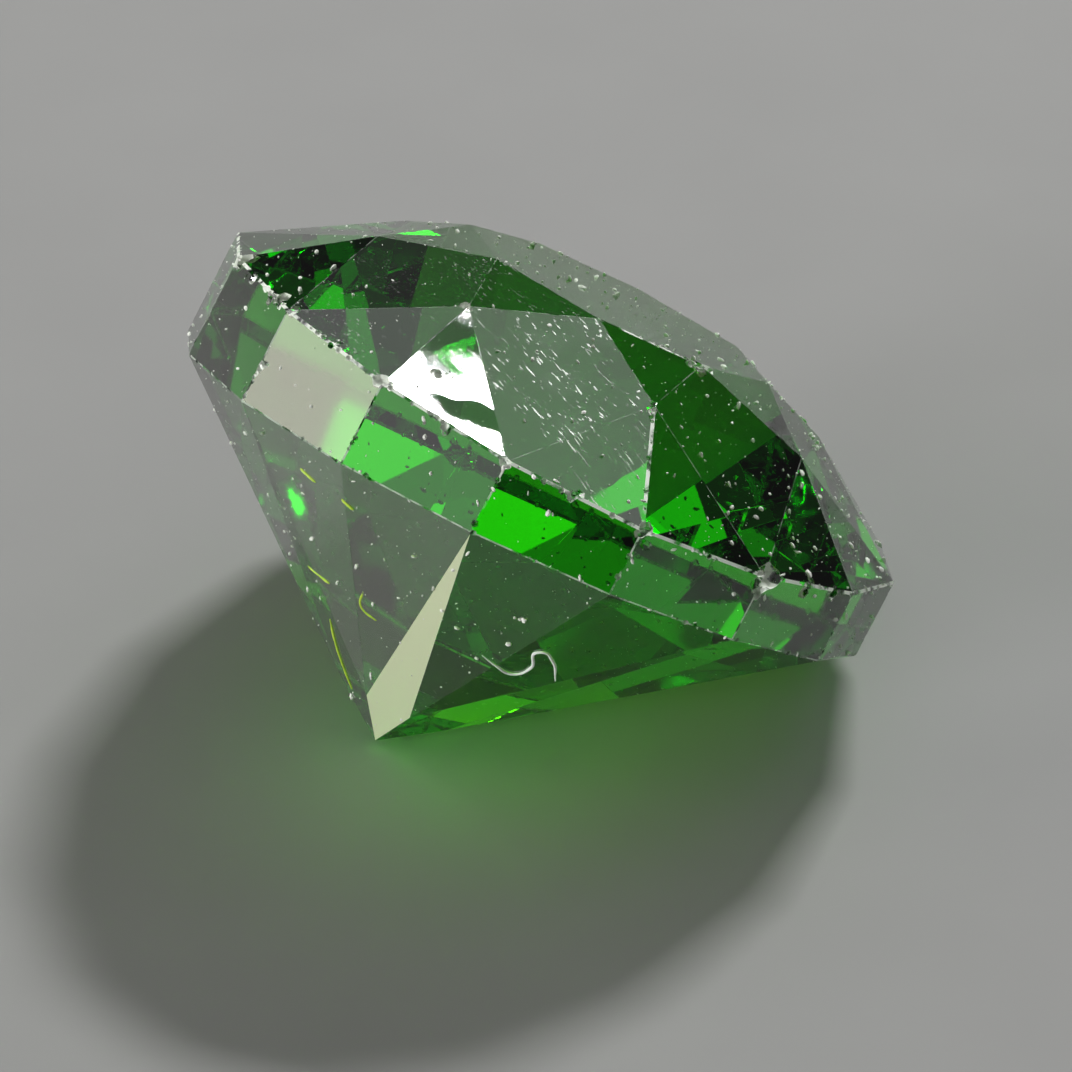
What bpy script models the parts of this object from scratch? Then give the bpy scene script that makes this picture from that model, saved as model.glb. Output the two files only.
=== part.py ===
"""Demantoid garnet, cut as a round brilliant and lying loose on one pavilion facet.

The stone is one solid. A round preform is cut facet by facet, as a lapidary would do it:
girdle, pavilion mains, lower halves, crown mains, upper halves, stars and table. Every plane
is found from the meet points of the facets around it, in a frame with the culet at the
origin and the table up. The finished stone is then laid down on a lower half.
"""

from math import cos, pi, sin, tan, radians

import bmesh
import bpy
from mathutils import Matrix, Vector

MM = 0.001

# Girdle: sixteen flat facets. Corners with even numbers are the mains' tips.
CORNERS = 16
STEP = 2 * pi / CORNERS
GIRDLE_RADIUS = 3.25 * MM
GIRDLE_THICKNESS = 0.8 * MM
GIRDLE_WAVE = 0.06 * MM
GIRDLE_WAVE_TURN = radians(22.5)
# The preform was dopped a little off the culet's axis.
GIRDLE_OFFSET = Vector((-0.13, 0.13, 0.0)) * MM

# Pavilion: eight mains to a pointed culet, sixteen long lower halves.
PAVILION_ANGLE = radians(37.8)
LOWER_HALF_TIP = 0.56 * MM

# Crown: tipped when the stone was transferred to its second dop.
CROWN_ANGLE = radians(30.0)
CROWN_TIP_X = radians(-0.4)
CROWN_TIP_Y = radians(3.4)
# How far from the crown's axis the mains are where the star tips and the table cut them.
STAR_TIP_REACH = 1.98 * MM
TABLE_REACH = 1.39 * MM

# Rest: the lower half between corners 6 and 7 lies on the ground, and the axis leans this way.
REST_CORNER = 6
LEAN_TOWARD = radians(43.0)

PREFORM_SIDES = 64
PREFORM_MARGIN = 0.4 * MM
ON_PLANE = 1e-7

GARNET_GREEN = (0.03, 0.33, 0.02, 1.0)
GARNET_IOR = 1.888


def around(corner):
    """Unit vector from the axis toward a numbered corner."""
    angle = corner * STEP
    return Vector((cos(angle), sin(angle), 0.0))


def plane_through(a, b, c, inside):
    """Point and outward normal of the plane through three points."""
    normal = (b - a).cross(c - a).normalized()
    if normal.dot(inside - a) > 0:
        normal = -normal
    return a, normal


def meet(first, second, third):
    """The point that three planes share."""
    planes = (first, second, third)
    rows = Matrix([normal for point, normal in planes])
    reach = Vector([normal.dot(point) for point, normal in planes])
    return rows.inverted() @ reach


def girdle_corner(corner):
    return GIRDLE_OFFSET + around(corner) * GIRDLE_RADIUS


def lower_corner(corner):
    """A corner of the girdle's lower edge, on the slope of the pavilion mains."""
    spot = girdle_corner(corner)
    spot.z = spot.dot(around(corner)) * tan(PAVILION_ANGLE)
    return spot


CULET = Vector((0.0, 0.0, 0.0))
PAVILION_DEPTH = GIRDLE_RADIUS * tan(PAVILION_ANGLE)
CROWN_BASE = GIRDLE_OFFSET + Vector((0.0, 0.0, PAVILION_DEPTH + GIRDLE_THICKNESS))
CROWN_TURN = Matrix.Rotation(CROWN_TIP_Y, 3, "Y") @ Matrix.Rotation(CROWN_TIP_X, 3, "X")
CROWN_UP = CROWN_TURN @ Vector((0.0, 0.0, 1.0))
INSIDE = Vector((0.0, 0.0, PAVILION_DEPTH))


def upper_corner(corner):
    """A corner of the girdle's upper edge, which waves twice round the stone."""
    spot = girdle_corner(corner)
    away = spot - CROWN_BASE
    level = CROWN_BASE.z - (CROWN_UP.x * away.x + CROWN_UP.y * away.y) / CROWN_UP.z
    spot.z = level - GIRDLE_WAVE * cos(2 * (corner * STEP - GIRDLE_WAVE_TURN))
    return spot


def crown_level(reach):
    """A plane square to the crown's axis, where its mains are this far out."""
    height = (GIRDLE_RADIUS - reach) * tan(CROWN_ANGLE)
    return CROWN_BASE + CROWN_UP * height, CROWN_UP


def girdle_facet(corner):
    low, beside = lower_corner(corner), lower_corner(corner + 1)
    return plane_through(low, beside, upper_corner(corner), INSIDE)


def pavilion_main(corner):
    along = around(corner + CORNERS // 4)
    low = lower_corner(corner)
    return plane_through(CULET, low, low + along * GIRDLE_RADIUS, INSIDE)


def crown_main(corner):
    slope = around(corner) * sin(CROWN_ANGLE) + Vector((0.0, 0.0, cos(CROWN_ANGLE)))
    return upper_corner(corner), CROWN_TURN @ slope


def lower_tip(corner):
    """Where two lower halves end on the edge between two mains."""
    upright = around(corner) * LOWER_HALF_TIP, around(corner)
    return meet(pavilion_main(corner - 1), pavilion_main(corner + 1), upright)


def star_tip(corner):
    return meet(crown_main(corner - 1), crown_main(corner + 1), crown_level(STAR_TIP_REACH))


def table_corner(corner):
    across = CROWN_BASE, CROWN_TURN @ around(corner + CORNERS // 4)
    return meet(crown_main(corner), crown_level(TABLE_REACH), across)


def lower_half(main, between):
    corners = lower_corner(main), lower_corner(between), lower_tip(between)
    return plane_through(*corners, INSIDE)


def upper_half(main, between):
    corners = upper_corner(main), upper_corner(between), star_tip(between)
    return plane_through(*corners, INSIDE)


def star(between):
    corners = table_corner(between - 1), table_corner(between + 1), star_tip(between)
    return plane_through(*corners, INSIDE)


def facets():
    """Every plane in the order of cutting."""
    mains = range(0, CORNERS, 2)
    betweens = range(1, CORNERS, 2)
    yield from (girdle_facet(corner) for corner in range(CORNERS))
    yield from (pavilion_main(corner) for corner in mains)
    for between in betweens:
        yield lower_half(between - 1, between)
        yield lower_half(between + 1, between)
    yield from (crown_main(corner) for corner in mains)
    for between in betweens:
        yield upper_half(between - 1, between)
        yield upper_half(between + 1, between)
    yield from (star(between) for between in betweens)
    yield crown_level(TABLE_REACH)


def preform():
    """A round blank that holds the whole stone."""
    height = PAVILION_DEPTH + GIRDLE_THICKNESS + GIRDLE_RADIUS
    blank = bmesh.new()
    bmesh.ops.create_cone(
        blank,
        cap_ends=True,
        segments=PREFORM_SIDES,
        radius1=GIRDLE_RADIUS + PREFORM_MARGIN,
        radius2=GIRDLE_RADIUS + PREFORM_MARGIN,
        depth=height,
        matrix=Matrix.Translation((0.0, 0.0, height / 2 - PREFORM_MARGIN)),
    )
    return blank


def cut(blank, point, normal):
    """Grind one facet: clear what stands proud of its plane and close the face."""
    cut_through = bmesh.ops.bisect_plane(
        blank,
        geom=blank.verts[:] + blank.edges[:] + blank.faces[:],
        dist=ON_PLANE,
        plane_co=point,
        plane_no=normal,
        clear_outer=True,
    )
    rim = [part for part in cut_through["geom_cut"] if isinstance(part, bmesh.types.BMEdge)]
    bmesh.ops.contextual_create(blank, geom=[edge for edge in rim if edge.is_boundary])


def laid_down():
    """The turn that puts the resting facet underneath, with the axis leaning as it should."""
    flat = lower_half(REST_CORNER, REST_CORNER + 1)[1].rotation_difference(Vector((0, 0, -1)))
    flat = flat.to_matrix()
    axis = flat @ Vector((0.0, 0.0, 1.0))
    heading = Vector((axis.x, axis.y)).angle_signed(Vector((1.0, 0.0)))
    return (Matrix.Rotation(LEAN_TOWARD - heading, 3, "Z") @ flat).to_4x4()


def stand_on_origin(stone):
    """Move the stone so that the origin is under the middle of its box."""
    reach = [[vert.co[axis] for vert in stone.verts] for axis in range(3)]
    middle = [(min(reach[axis]) + max(reach[axis])) / 2 for axis in range(2)]
    bmesh.ops.translate(stone, verts=stone.verts, vec=(-middle[0], -middle[1], -min(reach[2])))


def garnet_material():
    material = bpy.data.materials.new("garnet_green")
    material.use_nodes = True
    shader = material.node_tree.nodes["Principled BSDF"]
    shader.inputs["Base Color"].default_value = GARNET_GREEN
    shader.inputs["Metallic"].default_value = 0.0
    shader.inputs["Roughness"].default_value = 0.03
    shader.inputs["IOR"].default_value = GARNET_IOR
    shader.inputs["Transmission Weight"].default_value = 1.0
    material.diffuse_color = GARNET_GREEN
    return material


def clear_scene():
    for thing in list(bpy.data.objects):
        bpy.data.objects.remove(thing, do_unlink=True)


def build():
    clear_scene()
    stone = preform()
    for point, normal in facets():
        cut(stone, point, normal)
    bmesh.ops.transform(stone, matrix=laid_down(), verts=stone.verts)
    stand_on_origin(stone)
    bmesh.ops.recalc_face_normals(stone, faces=stone.faces)
    mesh = bpy.data.meshes.new("stone")
    stone.to_mesh(mesh)
    stone.free()
    mesh.materials.append(garnet_material())
    collection = bpy.data.collections.new("demantoid_garnet")
    bpy.context.scene.collection.children.link(collection)
    collection.objects.link(bpy.data.objects.new("stone", mesh))


build()
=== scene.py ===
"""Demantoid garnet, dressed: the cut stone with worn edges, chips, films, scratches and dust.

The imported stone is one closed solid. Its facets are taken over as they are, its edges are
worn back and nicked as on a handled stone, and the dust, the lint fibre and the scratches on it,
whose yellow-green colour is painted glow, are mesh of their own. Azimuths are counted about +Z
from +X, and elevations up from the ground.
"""

from math import cos, pi, radians, sin
from random import Random

import bmesh
import bpy
from bpy.props import FloatProperty, FloatVectorProperty, IntProperty, PointerProperty
from mathutils import Euler, Matrix, Vector
from mathutils.geometry import intersect_point_line


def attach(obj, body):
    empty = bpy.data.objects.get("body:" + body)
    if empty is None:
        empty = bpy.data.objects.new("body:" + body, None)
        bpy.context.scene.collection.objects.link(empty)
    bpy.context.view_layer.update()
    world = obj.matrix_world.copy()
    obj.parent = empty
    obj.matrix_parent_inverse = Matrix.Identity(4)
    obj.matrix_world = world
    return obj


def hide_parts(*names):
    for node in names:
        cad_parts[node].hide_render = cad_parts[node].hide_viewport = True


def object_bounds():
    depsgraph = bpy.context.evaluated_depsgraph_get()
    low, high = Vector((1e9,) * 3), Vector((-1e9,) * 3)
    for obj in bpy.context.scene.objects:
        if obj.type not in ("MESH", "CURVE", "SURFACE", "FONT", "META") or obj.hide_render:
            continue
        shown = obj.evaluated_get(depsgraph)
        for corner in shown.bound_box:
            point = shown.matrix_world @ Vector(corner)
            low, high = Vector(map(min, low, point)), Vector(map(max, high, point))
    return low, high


bl_info = {
    "name": "Demantoid Garnet",
    "version": (1, 0, 0),
    "blender": (4, 5, 0),
    "location": "3D View > Sidebar > Garnet",
    "description": "Dresses a cut demantoid garnet with wear, dust and lint, and lights it",
    "category": "Add Mesh",
}

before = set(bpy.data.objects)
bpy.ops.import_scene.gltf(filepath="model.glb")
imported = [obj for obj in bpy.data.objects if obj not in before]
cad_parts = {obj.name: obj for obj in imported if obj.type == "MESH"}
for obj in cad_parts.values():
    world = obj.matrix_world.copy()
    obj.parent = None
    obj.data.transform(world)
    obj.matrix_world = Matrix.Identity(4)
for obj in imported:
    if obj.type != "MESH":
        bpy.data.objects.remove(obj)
CAD_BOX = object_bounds()

MM = 0.001
WELD = 1e-7
SAME_FACET = radians(0.3)
# A face belongs to a facet when its middle is this close to the facet's plane, in metres,
# and the dot product of the two normals is more than this.
ON_FACET = 2e-6
FACET_TURN = 0.9995

# Facets that differ from the rest: the azimuth and elevation that they face, how much of
# them a pale film hides, and how scuffed they are.
FACET_MARKS = (
    ("pavilion main like a blade", (-115.7, -17.5), 1.0, 0.0),
    ("pavilion main, left", (-143.7, -13.9), 0.10, 0.0),
    ("lower half, far left", (-151.3, -14.2), 0.10, 0.0),
    ("lower half, left", (-136.2, -12.4), 0.15, 0.0),
    ("lower half beside the blade", (-121.2, -14.7), 0.15, 0.0),
    ("lower half, front", (-107.1, -20.3), 0.04, 0.0),
    ("girdle facet, left end", (-164.2, 35.4), 0.08, 0.0),
    ("girdle facet, left", (-136.2, 38.7), 0.25, 0.0),
    ("girdle facet, right", (-46.5, -0.4), 0.10, 0.0),
    ("star, left", (11.1, 72.7), 0.01, 0.3),
    ("crown main, left", (70.1, 82.6), 0.02, 0.3),
    ("upper half, left", (-24.0, 86.0), 0.03, 0.3),
    ("crown main, front", (-18.8, 69.0), 0.02, 1.0),
    ("upper half, front", (-26.3, 61.9), 0.03, 1.0),
    ("upper half with the window in it", (-29.1, 73.4), 0.02, 0.6),
    ("table", (39.2, 53.9), 0.0, 0.4),
)

# The line that the stone was cut round, how far from it the girdle's edges are, and how far
# above the culet its upper edge is.
CULET = Vector((-1.443, -1.332, 0.029)) * MM
CUT_AXIS_FACING = (43.0, 51.3)
GIRDLE_REACH = 2.9 * MM
GIRDLE_TOP = 3.0 * MM

# How worn the edges are, as a share of the edge wear. Those above NICKED_WEAR have nicks.
UPPER_GIRDLE_WEAR = 1.0
LOWER_GIRDLE_WEAR = 0.5
CROWN_WEAR = 0.25
PAVILION_WEAR = 0.12
NICKED_WEAR = 0.3

# Two edges of the crown are as worn as the girdle: their ends in mm.
RUBBED_EDGES = (
    ("table's right edge", (0.542, -0.605, 3.997), (1.411, -0.550, 3.479)),
    ("crown main's right edge", (1.015, -1.491, 3.716), (0.930, -2.887, 3.426)),
)
RUBBED_REACH = 0.03 * MM

# A chip is a cluster of bites. How far each is from the chip's centre and how large it is
# are shares of the chip's radius, and its width and thickness are shares of its own size.
# No polish is left within the chip's reach, also a share of its radius.
CHIP_SEED = 11
CHIP_BITES = 8
BITE_AWAY = (0.1, 0.9)
BITE_SIZE = (0.25, 0.6)
BITE_WIDTH = (0.5, 1.0)
BITE_THICKNESS = 0.7
CHIP_REACH = 1.4
CHIP_WEAR = 1.6

# Chips on the girdle and the crown: centre in mm and radius in mm.
CHIPS = (
    ("girdle, left end", (-2.60, 0.02, 4.26), 0.26),
    ("girdle, left end's corner", (-2.45, -0.35, 4.36), 0.16),
    ("girdle, left facet's upper edge", (-2.28, -0.72, 4.43), 0.17),
    ("girdle, left facet's top", (-2.20, -0.97, 4.47), 0.19),
    ("girdle, left facet's corner", (-2.08, -1.18, 4.45), 0.17),
    ("girdle, left facet's left edge", (-2.31, -1.33, 4.08), 0.11),
    ("girdle, left of the highlight", (-1.62, -1.66, 4.42), 0.13),
    ("girdle, beside the highlight", (-1.25, -2.12, 4.40), 0.17),
    ("girdle, under the highlight", (-0.75, -2.45, 4.22), 0.14),
    ("girdle, front", (-0.19, -2.76, 4.03), 0.16),
    ("girdle, between the front corners", (0.38, -2.85, 3.75), 0.12),
    ("girdle, front right", (0.94, -2.93, 3.46), 0.19),
    ("girdle, right edge", (1.48, -2.77, 3.12), 0.13),
    ("girdle, right", (1.98, -2.61, 2.76), 0.28),
    ("girdle, under the right corner", (1.95, -2.70, 2.60), 0.19),
    ("girdle, far right", (2.34, -2.25, 2.40), 0.16),
    ("girdle, right end", (2.58, -2.00, 2.16), 0.13),
    ("crown, highlight", (-0.79, -1.82, 4.30), 0.11),
    ("crown, front star tip", (1.02, -1.50, 3.75), 0.12),
    ("crown, left star tip", (-0.56, -0.94, 4.38), 0.11),
    ("table, right corner", (1.43, -0.56, 3.50), 0.17),
)

# Short scratches on the lower left facets, coloured with a painted yellow-green glow that stands
# for light coming through the stone: the points that they run through, in mm.
GLOW_PAINTED_SCRATCHES = (
    ((-1.96, -1.90, 3.35), (-1.83, -2.02, 3.29)),
    ((-1.60, -2.26, 3.29), (-1.50, -2.32, 3.22)),
    ((-1.96, -1.45, 2.01), (-1.77, -1.67, 1.98)),
    ((-1.46, -1.99, 2.14), (-1.48, -1.91, 1.90), (-1.36, -1.96, 1.80)),
    ((-1.79, -1.45, 1.44), (-1.74, -1.36, 1.05), (-1.63, -1.31, 0.58)),
)


def direction(azimuth, elevation):
    """Unit vector for an azimuth and an elevation in degrees."""
    turn, rise = radians(azimuth), radians(elevation)
    return Vector((cos(turn) * cos(rise), sin(turn) * cos(rise), sin(rise)))


def place(tree, kind, inputs=None, **settings):
    """Add a node, set its options, and give each input a value or a link."""
    node = tree.nodes.new(kind)
    for name, value in settings.items():
        setattr(node, name, value)
    for name, value in (inputs or {}).items():
        if isinstance(value, bpy.types.NodeSocket):
            tree.links.new(value, node.inputs[name])
        else:
            node.inputs[name].default_value = value
    return node


def new_material(name):
    """A material with an empty node tree and its output node."""
    material = bpy.data.materials.new(name)
    material.use_nodes = True
    material.node_tree.nodes.clear()
    return material, material.node_tree, material.node_tree.nodes.new("ShaderNodeOutputMaterial")


def new_object(name, data):
    thing = bpy.data.objects.new(name, data)
    bpy.context.scene.collection.objects.link(thing)
    return thing


def new_tree(name, **sizes):
    """A Geometry Nodes tree with a geometry in and out and one named input per size."""
    tree = bpy.data.node_groups.new(name, "GeometryNodeTree")
    tree.interface.new_socket("Geometry", in_out="INPUT", socket_type="NodeSocketGeometry")
    tree.interface.new_socket("Geometry", in_out="OUTPUT", socket_type="NodeSocketGeometry")
    for label, kind in sizes.items():
        tree.interface.new_socket(label, in_out="INPUT", socket_type=kind)
    return tree, tree.nodes.new("NodeGroupInput"), tree.nodes.new("NodeGroupOutput")


def end_tree(tree, geometry, material, made):
    """Make instances real, give the geometry its material, and hand it out."""
    real = place(tree, "GeometryNodeRealizeInstances", {"Geometry": geometry})
    sockets = {"Geometry": real.outputs["Geometry"], "Material": material}
    final = place(tree, "GeometryNodeSetMaterial", sockets)
    tree.links.new(final.outputs["Geometry"], made.inputs["Geometry"])


def grown(thing, tree, **values):
    """The plain mesh that a Geometry Nodes tree makes of an object."""
    modifier = thing.modifiers.new(tree.name, "NODES")
    modifier.node_group = tree
    identifiers = {item.name: item.identifier for item in tree.interface.items_tree}
    for label, value in values.items():
        modifier[identifiers[label]] = value
    view = bpy.context.evaluated_depsgraph_get()
    mesh = bpy.data.meshes.new_from_object(thing.evaluated_get(view), depsgraph=view)
    thing.modifiers.remove(modifier)
    return mesh


# The stone


def facet_solid():
    """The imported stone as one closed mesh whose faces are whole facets."""
    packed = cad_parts["stone"].data.copy()
    packed.attributes.remove(packed.attributes["custom_normal"])
    solid = bmesh.new()
    solid.from_mesh(packed)
    bpy.data.meshes.remove(packed)
    bmesh.ops.remove_doubles(solid, verts=solid.verts, dist=WELD)
    bmesh.ops.dissolve_limit(
        solid, angle_limit=SAME_FACET, verts=solid.verts, edges=solid.edges
    )
    return solid


def facet_planes(solid):
    return [(face.calc_center_median(), face.normal.copy()) for face in solid.faces]


def lies_on(face, plane):
    """Whether a face is part of the facet that had this plane."""
    point, normal = plane
    flat = abs(normal.dot(face.calc_center_median() - point)) < ON_FACET
    return flat and normal.dot(face.normal) > FACET_TURN


def marked_planes(planes):
    """Each marked facet's plane with its film and its scuffing."""
    marked = []
    for name, facing, film, scuff in FACET_MARKS:
        toward = direction(*facing)
        marked.append((max(planes, key=lambda plane: plane[1].dot(toward)), film, scuff))
    return marked


def is_rubbed(spot):
    """Whether a spot is on one of the crown's rubbed edges."""
    for name, start, end in RUBBED_EDGES:
        first, last = Vector(start) * MM, Vector(end) * MM
        nearest, part = intersect_point_line(spot, first, last)
        if 0.0 <= part <= 1.0 and (spot - nearest).length < RUBBED_REACH:
            return True
    return False


def edge_wear(spot):
    """How worn an edge is at a spot: most on top of the girdle, hardly at all under it."""
    axis = direction(*CUT_AXIS_FACING)
    away = spot - CULET
    height = away.dot(axis)
    if (away - axis * height).length > GIRDLE_REACH:
        return UPPER_GIRDLE_WEAR if height > GIRDLE_TOP else LOWER_GIRDLE_WEAR
    if is_rubbed(spot):
        return UPPER_GIRDLE_WEAR
    return CROWN_WEAR if height > GIRDLE_TOP else PAVILION_WEAR


def broken_wear(spot):
    """How worn a spot off the facets is: inside a chip no polish is left at all."""
    for name, centre, radius in CHIPS:
        if (spot - Vector(centre) * MM).length < CHIP_REACH * radius * MM:
            return CHIP_WEAR
    return edge_wear(spot)


def worn_edges(solid, width):
    """The stone's mesh with each edge rounded as far as it is worn."""
    weight = solid.edges.layers.float.new("bevel_weight_edge")
    for edge in solid.edges:
        edge[weight] = edge_wear((edge.verts[0].co + edge.verts[1].co) / 2)
    mesh = bpy.data.meshes.new("sharp_stone")
    solid.to_mesh(mesh)
    sharp = new_object("sharp_stone", mesh)
    rounding = sharp.modifiers.new("worn_edges", "BEVEL")
    rounding.limit_method = "WEIGHT"
    rounding.width = width
    rounding.segments = 1
    view = bpy.context.evaluated_depsgraph_get()
    rounded = bpy.data.meshes.new_from_object(sharp.evaluated_get(view), depsgraph=view)
    bpy.data.objects.remove(sharp)
    return rounded


def mark_wear(mesh, planes):
    """Store on each face whether it is worn, how filmed it is and how scuffed."""
    marked = marked_planes(planes)
    for name in ("worn", "film", "scuff"):
        while name in mesh.attributes:
            mesh.attributes.remove(mesh.attributes[name])
    stone = bmesh.new()
    stone.from_mesh(mesh)
    worn = stone.faces.layers.float.new("worn")
    film = stone.faces.layers.float.new("film")
    scuff = stone.faces.layers.float.new("scuff")
    for face in stone.faces:
        face.smooth = False
        polished = any(lies_on(face, plane) for plane in planes)
        face[worn] = 0.0 if polished else broken_wear(face.calc_center_median())
        here = [mark for mark in marked if lies_on(face, mark[0])]
        face[film] = here[0][1] if here else 0.0
        face[scuff] = here[0][2] if here else 0.0
    stone.to_mesh(mesh)
    stone.free()


def chip_scoops():
    """Clusters of sharp-cornered lumps that stand where chips have broken off."""
    chance = Random(CHIP_SEED)
    scoops = bmesh.new()
    for name, centre, radius in CHIPS:
        for bite in range(CHIP_BITES):
            toward = Vector(chance.uniform(-1.0, 1.0) for axis in range(3))
            away = toward.normalized() * radius * chance.uniform(*BITE_AWAY)
            spot = Matrix.Translation((Vector(centre) + away) * MM)
            turn = Euler([chance.uniform(0.0, pi) for axis in range(3)]).to_matrix().to_4x4()
            width = chance.uniform(*BITE_WIDTH)
            squash = Matrix.Diagonal((1.0, width, BITE_THICKNESS, 1.0))
            bmesh.ops.create_icosphere(
                scoops,
                subdivisions=1,
                radius=radius * MM * chance.uniform(*BITE_SIZE),
                matrix=spot @ turn @ squash,
            )
    mesh = bpy.data.meshes.new("chip_scoops")
    scoops.to_mesh(mesh)
    scoops.free()
    return new_object("chip_scoops", mesh)


def nick_tree(material):
    """Breaks small nicks out of the worn edges, and the named chips out of the girdle."""
    tree, given, made = new_tree(
        "nick_edges",
        Chips="NodeSocketObject",
        Density="NodeSocketFloat",
        Smallest="NodeSocketFloat",
        Largest="NodeSocketFloat",
        Seed="NodeSocketInt",
    )
    size, seed = given.outputs, given.outputs["Seed"]
    worn = place(tree, "GeometryNodeInputNamedAttribute", {"Name": "worn"}, data_type="FLOAT")
    edges = place(
        tree,
        "FunctionNodeCompare",
        {0: worn.outputs["Attribute"], 1: NICKED_WEAR},
        operation="GREATER_THAN",
    )
    spots = place(
        tree,
        "GeometryNodeDistributePointsOnFaces",
        {
            "Mesh": size["Geometry"],
            "Selection": edges.outputs[0],
            "Density": size["Density"],
            "Seed": seed,
        },
    )
    ball = place(tree, "GeometryNodeMeshIcoSphere", {"Radius": 1.0, "Subdivisions": 1})
    reach = place(
        tree,
        "FunctionNodeRandomValue",
        {2: size["Smallest"], 3: size["Largest"], "Seed": seed},
        data_type="FLOAT",
    )
    scoops = place(
        tree,
        "GeometryNodeInstanceOnPoints",
        {
            "Points": spots.outputs["Points"],
            "Instance": ball.outputs["Mesh"],
            "Rotation": spots.outputs["Rotation"],
            "Scale": reach.outputs[1],
        },
    )
    real = place(tree, "GeometryNodeRealizeInstances", {"Geometry": scoops.outputs["Instances"]})
    chips = place(
        tree, "GeometryNodeObjectInfo", {"Object": size["Chips"]}, transform_space="RELATIVE"
    )
    both = place(tree, "GeometryNodeJoinGeometry", {"Geometry": real.outputs["Geometry"]})
    tree.links.new(chips.outputs["Geometry"], both.inputs["Geometry"])
    broken = place(
        tree,
        "GeometryNodeMeshBoolean",
        {"Self Intersection": True},
        operation="DIFFERENCE",
        solver="EXACT",
    )
    tree.links.new(size["Geometry"], broken.inputs["Mesh 1"])
    tree.links.new(both.outputs["Geometry"], broken.inputs["Mesh 2"])
    end_tree(tree, broken.outputs["Mesh"], material, made)
    return tree


def drop_hollows(mesh):
    """Keep the stone's outer skin alone: a scoop wholly inside it leaves a closed hollow."""
    stone = bmesh.new()
    stone.from_mesh(mesh)
    farthest = max(stone.verts, key=lambda vert: vert.co.length)
    skin, waiting = {farthest}, [farthest]
    while waiting:
        for edge in waiting.pop().link_edges:
            fresh = [vert for vert in edge.verts if vert not in skin]
            skin.update(fresh)
            waiting.extend(fresh)
    hollows = [vert for vert in stone.verts if vert not in skin]
    bmesh.ops.delete(stone, geom=hollows, context="VERTS")
    stone.to_mesh(mesh)
    stone.free()


# Noise scales, in waves per metre.
GRIT_SCALE = 8000.0
SMEAR_SCALE = 1800.0
STROKE_SCALE = 34000.0

# Where each noise starts to show and where it is full.
GRIT_SHOWS = (0.40, 0.58)
SMEAR_SHOWS = (0.42, 0.62)
FIRST_STROKES_SHOW = (0.64, 0.74)
SECOND_STROKES_SHOW = (0.68, 0.78)

# How the two sets of strokes are turned, in radians, and how much longer than wide they are.
FIRST_STROKES_TURN = (0.3, 0.5, -0.9)
SECOND_STROKES_TURN = (0.5, 0.9, -0.3)
STROKE_STRETCH = 7.0

# What film, frost and scratches leave of the clear crystal, how rough they and greasy
# smears make it, and how much film gives a facet the film's own colour.
CLEAR_LEFT = 0.1
PALE_ROUGHNESS = 0.5
GREASY_ROUGHNESS = 0.09
FILM_TINT_FULL = 0.1
SMEAR_HEIGHT = 0.006 * MM
PURE_WHITE = (1.0, 1.0, 1.0, 1.0)


def noise(tree, spot, scale, detail):
    """Noise from 0 to 1."""
    sockets = {"Vector": spot, "Scale": scale, "Detail": detail}
    return place(tree, "ShaderNodeTexNoise", sockets).outputs["Fac"]


def ramp(tree, value, low, high):
    """How far a value is on its way from low to high, from 0 to 1."""
    sockets = {"Value": value, "From Min": low, "From Max": high}
    return place(tree, "ShaderNodeMapRange", sockets).outputs["Result"]


def blend(tree, factor, first, second):
    """A colour on the way from one colour to another."""
    sockets = {"Factor": factor, "A": first, "B": second}
    return place(tree, "ShaderNodeMix", sockets, data_type="RGBA").outputs["Result"]


def larger(tree, first, second):
    return place(tree, "ShaderNodeMath", {0: first, 1: second}, operation="MAXIMUM").outputs[0]


def smaller(tree, first, second):
    return place(tree, "ShaderNodeMath", {0: first, 1: second}, operation="MINIMUM").outputs[0]


def product(tree, first, second):
    """Two shares multiplied, kept between 0 and 1."""
    sockets = {0: first, 1: second}
    return place(tree, "ShaderNodeMath", sockets, operation="MULTIPLY", use_clamp=True).outputs[0]


def strokes(tree, spot, turn, shows):
    """Short fine scratches that all run one way, from 0 to 1."""
    across = place(
        tree,
        "ShaderNodeMapping",
        {"Vector": spot, "Rotation": turn, "Scale": (STROKE_STRETCH, 1.0, 1.0)},
        vector_type="TEXTURE",
    )
    return ramp(tree, noise(tree, across.outputs["Vector"], STROKE_SCALE, 1.0), *shows)


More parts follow.
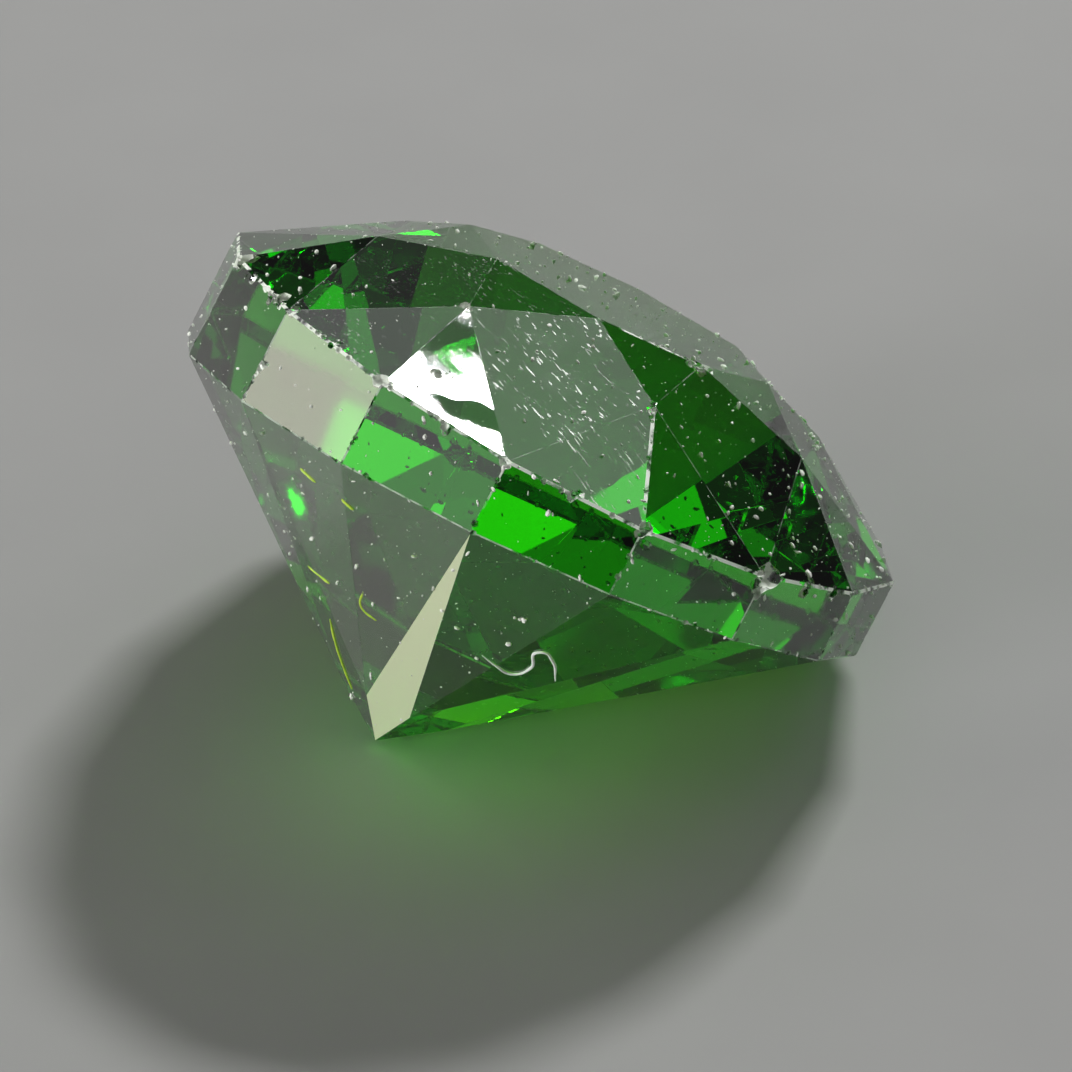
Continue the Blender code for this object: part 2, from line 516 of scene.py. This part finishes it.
def garnet_material(look):
    """Clear green crystal, frosted where it is worn and filmed where its facet says so."""
    material, tree, output = new_material("demantoid_crystal")
    spot = place(tree, "ShaderNodeTexCoord").outputs["Object"]
    worn, film, scuff = (
        place(tree, "ShaderNodeAttribute", attribute_name=name).outputs["Fac"]
        for name in ("worn", "film", "scuff")
    )
    smear = noise(tree, spot, SMEAR_SCALE, 1.0)
    blotch = ramp(tree, smear, *SMEAR_SHOWS)
    scratches = larger(
        tree,
        strokes(tree, spot, FIRST_STROKES_TURN, FIRST_STROKES_SHOW),
        strokes(tree, spot, SECOND_STROKES_TURN, SECOND_STROKES_SHOW),
    )
    frost = product(tree, worn, ramp(tree, noise(tree, spot, GRIT_SCALE, 2.0), *GRIT_SHOWS))
    veil = product(tree, film, look.film_cover)
    scratched = product(tree, product(tree, scuff, blotch), scratches)
    pale = larger(tree, larger(tree, frost, veil), scratched)
    filmed = ramp(tree, film, 0.0, FILM_TINT_FULL)
    tint = blend(tree, filmed, (*look.frost_colour, 1.0), (*look.film_colour, 1.0))
    clear = place(
        tree, "ShaderNodeMapRange", {"Value": pale, "To Min": 1.0, "To Max": CLEAR_LEFT}
    )
    greasy = product(tree, blotch, product(tree, scuff, GREASY_ROUGHNESS))
    rough = place(
        tree, "ShaderNodeMath", {0: pale, 1: PALE_ROUGHNESS, 2: greasy}, operation="MULTIPLY_ADD"
    )
    uneven = place(
        tree, "ShaderNodeBump", {"Strength": scuff, "Distance": SMEAR_HEIGHT, "Height": smear}
    )
    crystal = place(
        tree,
        "ShaderNodeBsdfPrincipled",
        {
            "Base Color": blend(tree, pale, PURE_WHITE, tint),
            "Roughness": rough.outputs[0],
            "IOR": look.ior,
            "Transmission Weight": clear.outputs["Result"],
            "Normal": uneven.outputs["Normal"],
        },
        distribution="GGX",
    )
    inside = place(
        tree,
        "ShaderNodeVolumeAbsorption",
        {"Color": (*look.absorption_colour, 1.0), "Density": look.absorption_density},
    )
    tree.links.new(crystal.outputs["BSDF"], output.inputs["Surface"])
    tree.links.new(inside.outputs["Volume"], output.inputs["Volume"])
    return material


def mottled_material(name, scale, dark, bright, roughness):
    """A dull opaque finish whose colour varies a little from place to place."""
    material, tree, output = new_material(name)
    spot = place(tree, "ShaderNodeTexCoord").outputs["Object"]
    colour = blend(tree, noise(tree, spot, scale, 2.0), (*dark, 1.0), (*bright, 1.0))
    finish = place(
        tree, "ShaderNodeBsdfPrincipled", {"Base Color": colour, "Roughness": roughness}
    )
    tree.links.new(finish.outputs["BSDF"], output.inputs["Surface"])
    return material


class GarnetLook(bpy.types.PropertyGroup):
    """Colour, polish and wear of the stone."""

    ior: FloatProperty(
        name="IOR", description="Refractive index of the crystal", default=1.888, min=1.0
    )
    absorption_colour: FloatVectorProperty(
        name="Body colour",
        description="Colour that the crystal lets through",
        subtype="COLOR",
        size=3,
        default=(0.714, 0.967, 0.0),
        min=0.0,
        max=1.0,
    )
    absorption_density: FloatProperty(
        name="Depth of colour",
        description="Absorption per metre of crystal",
        default=2100.0,
        min=0.0,
    )
    film_colour: FloatVectorProperty(
        name="Film colour",
        description="Colour of dried film on a facet",
        subtype="COLOR",
        size=3,
        default=(0.86, 0.93, 0.60),
        min=0.0,
        max=1.0,
    )
    frost_colour: FloatVectorProperty(
        name="Frost colour",
        description="Colour of worn edges, chips and scratches",
        subtype="COLOR",
        size=3,
        default=(0.95, 1.0, 0.90),
        min=0.0,
        max=1.0,
    )
    film_cover: FloatProperty(
        name="Film cover",
        description="How much of a filmed facet its film hides",
        subtype="FACTOR",
        default=0.95,
        min=0.0,
        max=1.0,
    )
    edge_width: FloatProperty(
        name="Edge wear",
        description="How far each facet edge is worn back",
        subtype="DISTANCE",
        unit="LENGTH",
        precision=6,
        default=0.018 * MM,
        min=0.0,
    )
    nick_density: FloatProperty(
        name="Nicks",
        description="Nicks per square metre of worn edge",
        default=2.0e8,
        min=0.0,
    )
    nick_smallest: FloatProperty(
        name="Smallest nick",
        description="Radius of the smallest nick",
        subtype="DISTANCE",
        unit="LENGTH",
        precision=6,
        default=0.007 * MM,
    )
    nick_largest: FloatProperty(
        name="Largest nick",
        description="Radius of the largest nick",
        subtype="DISTANCE",
        unit="LENGTH",
        precision=6,
        default=0.036 * MM,
    )
    seed: IntProperty(name="Seed", description="Seed of the nicks", default=4)


class GARNET_OT_stone(bpy.types.Operator):
    """Dress the cut stone with worn edges, nicks, chips and films"""

    bl_idname = "garnet.stone"
    bl_label = "Cut Stone"

    def execute(self, context):
        look = context.scene.garnet_look
        solid = facet_solid()
        planes = facet_planes(solid)
        mesh = worn_edges(solid, look.edge_width)
        solid.free()
        mark_wear(mesh, planes)
        material = garnet_material(look)
        mesh.materials.append(material)
        stone = new_object("garnet", mesh)
        scoops = chip_scoops()
        worn_mesh = grown(
            stone,
            nick_tree(material),
            Chips=scoops,
            Density=look.nick_density,
            Smallest=look.nick_smallest,
            Largest=look.nick_largest,
            Seed=look.seed,
        )
        bpy.data.objects.remove(scoops)
        drop_hollows(worn_mesh)
        mark_wear(worn_mesh, planes)
        stone.data = worn_mesh
        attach(stone, "root")
        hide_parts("stone")
        return {"FINISHED"}


# Dust, lint and scratches with painted glow

# Dust lies on faces whose normal has more than this Z. It gets thicker with the normal's X.
DUSTY_FACING = -0.35
THICK_SIDE = (0.1, 0.7)
THICKER = 2.2
# The higher this power, the more of the grains are small.
SMALL_GRAINS = 5.0
# The slimmest and the fattest grain along its three axes, as shares of its radius.
GRAIN_STRETCH = 2.0
SLIMMEST_GRAIN = (0.4, 0.4, 0.3)
FATTEST_GRAIN = (GRAIN_STRETCH, 1.2, 0.9)
ANY_TURN = (6.3, 6.3, 6.3)


def pale_dust_material():
    return mottled_material("pale_dust", 3000.0, (0.86, 0.88, 0.80), (1.0, 1.0, 0.96), 0.7)


def vector_math(tree, operation, sockets):
    return place(tree, "ShaderNodeVectorMath", sockets, operation=operation).outputs[0]


def dust_density(tree, facing, density):
    """Grains per square metre: more of them on the +X side."""
    thicker = place(
        tree,
        "ShaderNodeMapRange",
        {
            "Value": facing.outputs["X"],
            "From Min": THICK_SIDE[0],
            "From Max": THICK_SIDE[1],
            "To Min": 1.0,
            "To Max": THICKER,
        },
    )
    sockets = {0: density, 1: thicker.outputs["Result"]}
    return place(tree, "ShaderNodeMath", sockets, operation="MULTIPLY").outputs[0]


def grain_radius(tree, size):
    """A random radius, mostly small, and never more than the room left to the CAD box."""
    chance = place(tree, "FunctionNodeRandomValue", {"Seed": size["Seed"]}, data_type="FLOAT")
    mostly_small = place(
        tree, "ShaderNodeMath", {0: chance.outputs[1], 1: SMALL_GRAINS}, operation="POWER"
    )
    radius = place(
        tree,
        "ShaderNodeMapRange",
        {
            "Value": mostly_small.outputs[0],
            "To Min": size["Smallest"],
            "To Max": size["Largest"],
        },
    )
    point = place(tree, "GeometryNodeInputPosition").outputs["Position"]
    from_middle = vector_math(tree, "SUBTRACT", {0: point, 1: size["Middle"]})
    away = vector_math(tree, "ABSOLUTE", {0: from_middle})
    room = vector_math(tree, "SUBTRACT", {0: size["Half"], 1: away})
    side_room = place(tree, "ShaderNodeSeparateXYZ", {"Vector": room}).outputs
    least_room = smaller(tree, side_room["X"], side_room["Y"])
    least_room = smaller(tree, least_room, side_room["Z"])
    sockets = {0: least_room, 1: GRAIN_STRETCH}
    fitting = place(tree, "ShaderNodeMath", sockets, operation="DIVIDE").outputs[0]
    return smaller(tree, radius.outputs["Result"], fitting)


def random_vector(tree, least, most, seed):
    sockets = {0: least, 1: most, "Seed": seed}
    return place(tree, "FunctionNodeRandomValue", sockets, data_type="FLOAT_VECTOR").outputs[0]


def dust_tree(material):
    """Strews grains over the faces that don't look down."""
    tree, given, made = new_tree(
        "strew_dust",
        Density="NodeSocketFloat",
        Smallest="NodeSocketFloat",
        Largest="NodeSocketFloat",
        Middle="NodeSocketVector",
        Half="NodeSocketVector",
        Seed="NodeSocketInt",
    )
    size = given.outputs
    normal = place(tree, "GeometryNodeInputNormal").outputs["Normal"]
    facing = place(tree, "ShaderNodeSeparateXYZ", {"Vector": normal})
    upward = place(
        tree,
        "FunctionNodeCompare",
        {0: facing.outputs["Z"], 1: DUSTY_FACING},
        operation="GREATER_THAN",
    )
    spots = place(
        tree,
        "GeometryNodeDistributePointsOnFaces",
        {
            "Mesh": size["Geometry"],
            "Selection": upward.outputs[0],
            "Density": dust_density(tree, facing, size["Density"]),
            "Seed": size["Seed"],
        },
    )
    grain = place(tree, "GeometryNodeMeshIcoSphere", {"Radius": 1.0, "Subdivisions": 1})
    shape = random_vector(tree, SLIMMEST_GRAIN, FATTEST_GRAIN, size["Seed"])
    scale = vector_math(tree, "SCALE", {0: shape, "Scale": grain_radius(tree, size)})
    grains = place(
        tree,
        "GeometryNodeInstanceOnPoints",
        {
            "Points": spots.outputs["Points"],
            "Instance": grain.outputs["Mesh"],
            "Rotation": random_vector(tree, (0.0, 0.0, 0.0), ANY_TURN, size["Seed"]),
            "Scale": scale,
        },
    )
    end_tree(tree, grains.outputs["Instances"], material, made)
    return tree


class DustSizes(bpy.types.PropertyGroup):
    """The dust, the lint fibre and the scratches whose yellow-green colour is painted glow."""

    density: FloatProperty(
        name="Dust", description="Grains per square metre", default=2.2e7, min=0.0
    )
    smallest: FloatProperty(
        name="Smallest grain",
        description="Radius of the smallest grain",
        subtype="DISTANCE",
        unit="LENGTH",
        precision=6,
        default=0.005 * MM,
    )
    largest: FloatProperty(
        name="Largest grain",
        description="Radius of the largest grain",
        subtype="DISTANCE",
        unit="LENGTH",
        precision=6,
        default=0.034 * MM,
    )
    seed: IntProperty(name="Seed", description="Seed of the dust", default=7)
    lint_radius: FloatProperty(
        name="Lint radius",
        description="Radius of the lint fibre",
        subtype="DISTANCE",
        unit="LENGTH",
        precision=6,
        default=0.015 * MM,
    )
    # Half the width of a scratch strand whose colour is painted glow.
    glow_painted_scratch_radius: FloatProperty(
        name="Scratch radius",
        description="Half the width of a bright scratch",
        subtype="DISTANCE",
        unit="LENGTH",
        precision=6,
        default=0.014 * MM,
    )


class GARNET_OT_dust(bpy.types.Operator):
    """Strew pale dust over the faces that don't look down"""

    bl_idname = "garnet.dust"
    bl_label = "Dust"

    def execute(self, context):
        sizes = context.scene.garnet_dust
        bed = new_object("dust", bpy.data.objects["garnet"].data.copy())
        grains = grown(
            bed,
            dust_tree(pale_dust_material()),
            Density=sizes.density,
            Smallest=sizes.smallest,
            Largest=sizes.largest,
            Middle=(Vector(CAD_BOX[0]) + Vector(CAD_BOX[1])) / 2,
            Half=(Vector(CAD_BOX[1]) - Vector(CAD_BOX[0])) / 2,
            Seed=sizes.seed,
        )
        bed.data = grains
        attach(bed, "root")
        return {"FINISHED"}


# The points that the lint fibre runs through, in mm.
LINT_PATH = (
    (-0.45, -2.33, 1.71),
    (-0.34, -2.32, 1.60),
    (-0.19, -2.26, 1.46),
    (-0.04, -2.34, 1.58),
    (0.06, -2.51, 1.88),
    (0.15, -2.44, 1.74),
    (0.17, -2.25, 1.38),
)

# A strand's rings and sides, how its girth swells from place to place, and how it thins:
# from this share of its length off its middle, to this share of its girth at both ends.
STRAND_RINGS = 90
STRAND_SIDES = 8
SWELL_SCALE = 9000.0
SWELL = (0.5, 1.4)
TAPER_FROM = 0.35
END_GIRTH = 0.4


def lint_material():
    return mottled_material("white_lint", 8000.0, (0.86, 0.90, 0.86), (1.0, 1.0, 0.98), 0.6)


# The scratches' bright yellow-green colour is painted glow: it stands for light coming through
# the green stone.
def scratch_painted_glow_material():
    return mottled_material("scratch_painted_glow", 9000.0, (0.30, 0.55, 0.03), (0.80, 1.0, 0.10), 0.4)


def strand_tree(material):
    """Gives each path the girth of a thin strand that swells and shrinks and has thin ends."""
    tree, given, made = new_tree("spin_strand", Radius="NodeSocketFloat")
    smooth = place(
        tree,
        "GeometryNodeResampleCurve",
        {"Curve": given.outputs["Geometry"], "Count": STRAND_RINGS},
    )
    along = place(tree, "GeometryNodeSplineParameter").outputs["Factor"]
    uneven = place(tree, "ShaderNodeTexNoise", {"Scale": SWELL_SCALE}).outputs["Fac"]
    swell = place(
        tree, "ShaderNodeMapRange", {"Value": uneven, "To Min": SWELL[0], "To Max": SWELL[1]}
    )
    off_middle = place(tree, "ShaderNodeMath", {0: along, 1: 0.5}, operation="SUBTRACT")
    away = place(tree, "ShaderNodeMath", {0: off_middle.outputs[0]}, operation="ABSOLUTE")
    thin = place(
        tree,
        "ShaderNodeMapRange",
        {
            "Value": away.outputs[0],
            "From Min": TAPER_FROM,
            "From Max": 0.5,
            "To Min": 1.0,
            "To Max": END_GIRTH,
        },
    )
    reach = product(tree, swell.outputs["Result"], thin.outputs["Result"])
    girth = product(tree, reach, given.outputs["Radius"])
    sides = {"Resolution": STRAND_SIDES, "Radius": 1.0}
    ring = place(tree, "GeometryNodeCurvePrimitiveCircle", sides)
    tube = place(
        tree,
        "GeometryNodeCurveToMesh",
        {
            "Curve": smooth.outputs["Curve"],
            "Profile Curve": ring.outputs["Curve"],
            "Scale": girth,
            "Fill Caps": True,
        },
    )
    end_tree(tree, tube.outputs["Mesh"], material, made)
    return tree


def strand(name, paths, material, radius):
    """One mesh of thin strands, each of which runs through its path's points."""
    lines = bpy.data.curves.new(name, "CURVE")
    lines.dimensions = "3D"
    for path in paths:
        spline = lines.splines.new("BEZIER")
        spline.bezier_points.add(len(path) - 1)
        for knot, spot in zip(spline.bezier_points, path):
            knot.co = Vector(spot) * MM
            knot.handle_left_type = knot.handle_right_type = "AUTO"
    guide = new_object(name, lines)
    mesh = grown(guide, strand_tree(material), Radius=radius)
    bpy.data.objects.remove(guide)
    return new_object(name, mesh)


class GARNET_OT_lint(bpy.types.Operator):
    """Lay a curled lint fibre on the pavilion"""

    bl_idname = "garnet.lint"
    bl_label = "Lint Fibre"

    def execute(self, context):
        sizes = context.scene.garnet_dust
        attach(strand("lint", [LINT_PATH], lint_material(), sizes.lint_radius), "root")
        return {"FINISHED"}


class GARNET_OT_glow_painted_scratches(bpy.types.Operator):
    """Draw the scratches on the lower left facets, coloured with a painted yellow-green glow"""

    bl_idname = "garnet.scratches"
    bl_label = "Bright Scratches"

    def execute(self, context):
        sizes = context.scene.garnet_dust
        # These scratch strands carry painted glow in their colour, not light from the lamps.
        glow_painted_scratch_marks = strand("scratches", GLOW_PAINTED_SCRATCHES, scratch_painted_glow_material(), sizes.glow_painted_scratch_radius)
        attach(glow_painted_scratch_marks, "root")
        return {"FINISHED"}


# Stage

STONE_MIDDLE = Vector((0.0, 0.0, 2.2)) * MM
FLOOR_LEVEL = -0.02 * MM
FLOOR_MOTTLE_SCALE = 400.0
FLOOR_MOTTLE = (0.95, 1.05)
SENSOR_WIDTH = 36.0
NEAREST_SEEN = 1.0 * MM
FARTHEST_SEEN = 1.0
MOST_BOUNCES = 8

# Softboxes: azimuth and elevation in degrees, distance, width and height in mm, radiance
# and colour.
WHITE = (1.0, 1.0, 1.0)
WARM = (1.0, 0.98, 0.78)
SOFTBOXES = (
    ("window", 65.0, 49.1, 150.0, 30.0, 14.0, 140.0, WHITE),
    ("right_panel", 20.0, 55.0, 170.0, 46.0, 42.0, 0.8, WHITE),
    ("low_right_panel", 4.0, 38.0, 165.0, 34.0, 26.0, 0.8, WHITE),
    ("sky", 10.0, 84.0, 180.0, 370.0, 370.0, 0.24, WHITE),
    ("left_panel", 180.0, 23.0, 150.0, 58.0, 52.0, 2.4, WARM),
    ("tall_left_panel", 154.0, 38.0, 170.0, 60.0, 120.0, 0.7, WHITE),
    ("back_panel", 66.0, 38.0, 180.0, 210.0, 44.0, 0.5, WHITE),
    ("front_left_panel", -129.0, 33.0, 170.0, 56.0, 42.0, 0.8, WHITE),
    ("front_fill", -150.0, 6.0, 150.0, 50.0, 30.0, 34.0, WHITE),
)


class StageSizes(bpy.types.PropertyGroup):
    """Floor, surroundings and camera."""

    floor_side: FloatProperty(
        name="Floor",
        description="Side of the floor",
        subtype="DISTANCE",
        unit="LENGTH",
        default=0.6,
    )
    floor_colour: FloatVectorProperty(
        name="Floor colour",
        description="Colour of the floor",
        subtype="COLOR",
        size=3,
        default=(0.33, 0.33, 0.325),
        min=0.0,
        max=1.0,
    )
    surround: FloatVectorProperty(
        name="Surround",
        description="Colour of the dim light from all round",
        subtype="COLOR",
        size=3,
        default=(0.035, 0.035, 0.035),
        min=0.0,
        max=1.0,
    )
    lens: FloatProperty(
        name="Lens", description="Focal length on a 36 mm sensor, in mm", default=234.5
    )


def floor_material(stage):
    material, tree, output = new_material("pale_floor")
    spot = place(tree, "ShaderNodeTexCoord").outputs["Object"]
    mottle = noise(tree, spot, FLOOR_MOTTLE_SCALE, 4.0)
    shade = place(
        tree,
        "ShaderNodeMapRange",
        {"Value": mottle, "To Min": FLOOR_MOTTLE[0], "To Max": FLOOR_MOTTLE[1]},
    ).outputs["Result"]
    colour = vector_math(tree, "SCALE", {0: tuple(stage.floor_colour), "Scale": shade})
    matte = place(tree, "ShaderNodeBsdfDiffuse", {"Color": colour})
    tree.links.new(matte.outputs["BSDF"], output.inputs["Surface"])
    return material


def add_floor(stage):
    half = stage.floor_side / 2
    ways = ((-half, -half), (half, -half), (half, half), (-half, half))
    mesh = bpy.data.meshes.new("floor")
    mesh.from_pydata([(x, y, FLOOR_LEVEL) for x, y in ways], [], [(0, 1, 2, 3)])
    mesh.materials.append(floor_material(stage))
    new_object("floor", mesh)


def add_softbox(name, azimuth, elevation, distance, width, height, radiance, colour):
    """A panel of light that faces the stone."""
    lamp = bpy.data.lights.new(name, "AREA")
    lamp.shape = "RECTANGLE"
    lamp.size = width * MM
    lamp.size_y = height * MM
    lamp.color = colour
    lamp.energy = radiance * pi * lamp.size * lamp.size_y
    toward = direction(azimuth, elevation)
    panel = new_object(name, lamp)
    panel.location = STONE_MIDDLE + toward * distance * MM
    panel.rotation_euler = toward.to_track_quat("Z", "Y").to_euler()


def add_surround(stage):
    """Dim even light from all round."""
    world = bpy.data.worlds.new("surround")
    world.use_nodes = True
    backdrop = world.node_tree.nodes["Background"]
    backdrop.inputs["Color"].default_value = (*stage.surround, 1.0)
    bpy.context.scene.world = world


CAMERA_PLACE = Vector((1.447, -49.842, 37.253)) * MM
CAMERA_TURN = radians(1.713)
CAMERA_RISE = radians(35.807)
CAMERA_ROLL = radians(-0.927)


def add_camera(stage):
    """The photograph's camera, found from the stone's corners."""
    camera = bpy.data.cameras.new("camera")
    camera.lens = stage.lens
    camera.sensor_width = SENSOR_WIDTH
    camera.clip_start = NEAREST_SEEN
    camera.clip_end = FARTHEST_SEEN
    view = new_object("camera", camera)
    turn = Matrix.Rotation(CAMERA_TURN, 4, "Z")
    tip = Matrix.Rotation(radians(90.0) - CAMERA_RISE, 4, "X")
    roll = Matrix.Rotation(CAMERA_ROLL, 4, "Z")
    view.matrix_world = Matrix.Translation(CAMERA_PLACE) @ turn @ tip @ roll
    bpy.context.scene.camera = view


def limit_light_paths(scene):
    """Leave out the light paths that take long and show little."""
    scene.cycles.max_bounces = MOST_BOUNCES
    scene.cycles.diffuse_bounces = 1
    scene.cycles.glossy_bounces = MOST_BOUNCES - 1
    scene.cycles.transmission_bounces = MOST_BOUNCES
    scene.cycles.caustics_reflective = False


class GARNET_OT_stage(bpy.types.Operator):
    """Set up the floor, the softboxes and the camera"""

    bl_idname = "garnet.stage"
    bl_label = "Stage"

    def execute(self, context):
        stage = context.scene.garnet_stage
        add_floor(stage)
        add_surround(stage)
        for softbox in SOFTBOXES:
            add_softbox(*softbox)
        add_camera(stage)
        context.scene.view_settings.view_transform = "Standard"
        limit_light_paths(context.scene)
        return {"FINISHED"}


class GARNET_PT_panel(bpy.types.Panel):
    """Lists the garnet's pieces in the sidebar"""

    bl_idname = "GARNET_PT_panel"
    bl_label = "Demantoid Garnet"
    bl_space_type = "VIEW_3D"
    bl_region_type = "UI"
    bl_category = "Garnet"

    def draw(self, context):
        for operator in OPERATORS:
            self.layout.operator(operator.bl_idname)


OPERATORS = (
    GARNET_OT_stone,
    GARNET_OT_dust,
    GARNET_OT_lint,
    GARNET_OT_glow_painted_scratches,
    GARNET_OT_stage,
)
CLASSES = (GarnetLook, DustSizes, StageSizes, *OPERATORS, GARNET_PT_panel)


def register():
    for kind in CLASSES:
        bpy.utils.register_class(kind)
    bpy.types.Scene.garnet_look = PointerProperty(type=GarnetLook)
    bpy.types.Scene.garnet_dust = PointerProperty(type=DustSizes)
    bpy.types.Scene.garnet_stage = PointerProperty(type=StageSizes)


def unregister():
    del bpy.types.Scene.garnet_look
    del bpy.types.Scene.garnet_dust
    del bpy.types.Scene.garnet_stage
    for kind in reversed(CLASSES):
        bpy.utils.unregister_class(kind)


def main():
    register()
    bpy.ops.garnet.stone()
    bpy.ops.garnet.dust()
    bpy.ops.garnet.lint()
    bpy.ops.garnet.scratches()
    bpy.ops.garnet.stage()


if __name__ == "__main__":
    main()
